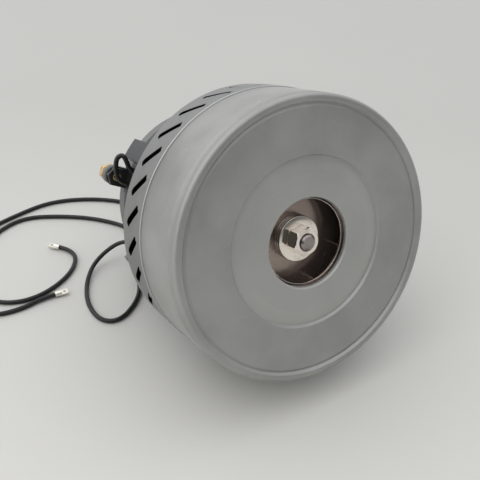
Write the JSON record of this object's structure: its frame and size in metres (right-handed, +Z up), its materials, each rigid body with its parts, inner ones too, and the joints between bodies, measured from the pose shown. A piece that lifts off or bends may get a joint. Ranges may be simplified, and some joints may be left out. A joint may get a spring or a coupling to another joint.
{
  "type": "vacuum motor unit",
  "caption": "Drum-shaped vacuum fan case with a central inlet and slanted louvres, a smaller cased motor behind it, and wire leads with crimped terminals.",
  "frame": {"origin": "on the table, below the middle of the box round the unit as it lies, without its two free leads", "axes": "+Y points from the inlet towards the rear cover along the table, +Z up, and the leads come out on the -X side; the shaft lies in the YZ plane and dips 17.9 degrees towards the rear"},
  "size_m": [0.2305, 0.2548, 0.1567],
  "materials": {
    "case_steel": "satin plated sheet steel",
    "fan_aluminium": "rolled aluminium sheet",
    "stage_plastic": "moulded",
    "bright_steel": "bright nickel plate",
    "shaft_steel": "ground steel",
    "bearing_steel": "ground and polished",
    "screw_zinc": "zinc plate",
    "clamp_zinc": "yellow zinc plate",
    "bracket_casting": "die cast, matte",
    "housing_plastic": "moulded, dark grey",
    "cover_plastic": "moulded, black",
    "cooling_fan_plastic": "moulded, black",
    "core_steel": "stacked electrical sheet",
    "winding_copper": "enamelled wire",
    "commutator_copper": "turned copper bars",
    "holder_plastic": "moulded, black",
    "brush_carbon": "pressed carbon",
    "spring_steel": "spring wire",
    "lead_insulation": "black soft insulation",
    "grommet_rubber": "moulded rubber",
    "terminal_tin": "tin plate"
  },
  "bodies": {
    "housing": {"inlet_shell": "case_steel", "exhaust_shell": "case_steel", "stage_plate": "stage_plastic", "front_bearing_outer_ring": "bearing_steel", "rear_bearing_outer_ring": "bearing_steel", "case_screws": "screw_zinc", "cover_screws": "screw_zinc", "clamp_screws": "clamp_zinc", "clamp_flat_washers": "clamp_zinc", "clamp_spring_washers": "clamp_zinc", "clamp_nuts": "clamp_zinc", "drive_bracket": "bracket_casting", "end_bracket": "bracket_casting", "motor_housing": "housing_plastic", "fan_cover": "cover_plastic", "stator_core": "core_steel", "upper_field_coil": "winding_copper", "lower_field_coil": "winding_copper", "brush_holder_a": "holder_plastic", "brush_holder_b": "holder_plastic", "brush_cap_a": "holder_plastic", "brush_cap_b": "holder_plastic", "brush_spring_a": "spring_steel", "brush_spring_b": "spring_steel", "lead_a": "lead_insulation", "lead_b": "lead_insulation", "brush_lead_a": "lead_insulation", "brush_lead_b": "lead_insulation", "lead_grommets": "grommet_rubber", "terminal_a": "terminal_tin", "terminal_b": "terminal_tin"},
    "rotor": {"shaft": "shaft_steel", "lock_nut": "bright_steel", "inlet_washers": "bright_steel", "front_fan": "fan_aluminium", "rear_fan": "fan_aluminium", "front_spacer": "shaft_steel", "rear_spacer": "shaft_steel", "front_bearing_inner_ring": "bearing_steel", "front_bearing_balls": "bearing_steel", "rear_bearing_inner_ring": "bearing_steel", "rear_bearing_balls": "bearing_steel", "armature_core": "core_steel", "armature_winding": "winding_copper", "commutator": "commutator_copper", "cooling_fan": "cooling_fan_plastic", "cooling_fan_nut": "bright_steel"},
    "brush_a": {"carbon_brush_a": "brush_carbon"},
    "brush_b": {"carbon_brush_b": "brush_carbon"}
  },
  "joints": [
    {"name": "rotor_spin", "type": "hinge", "parent": "housing", "child": "rotor", "pos_m": [0, 0.01962, 0.06016], "axis": [0, 0.9517, -0.3071], "continuous": true},
    {"name": "brush_a_slide", "type": "slide", "parent": "housing", "child": "brush_a", "axis": [-0.8746, 0.1489, 0.4614], "range_m": [0, 0.004], "stiffness_N_per_m": 150, "springref_m": -0.02, "deforming": ["brush_spring_a"]},
    {"name": "brush_b_slide", "type": "slide", "parent": "housing", "child": "brush_b", "axis": [0.8746, -0.1489, -0.4614], "range_m": [0, 0.004], "stiffness_N_per_m": 150, "springref_m": -0.02, "deforming": ["brush_spring_b"]}
  ]
}
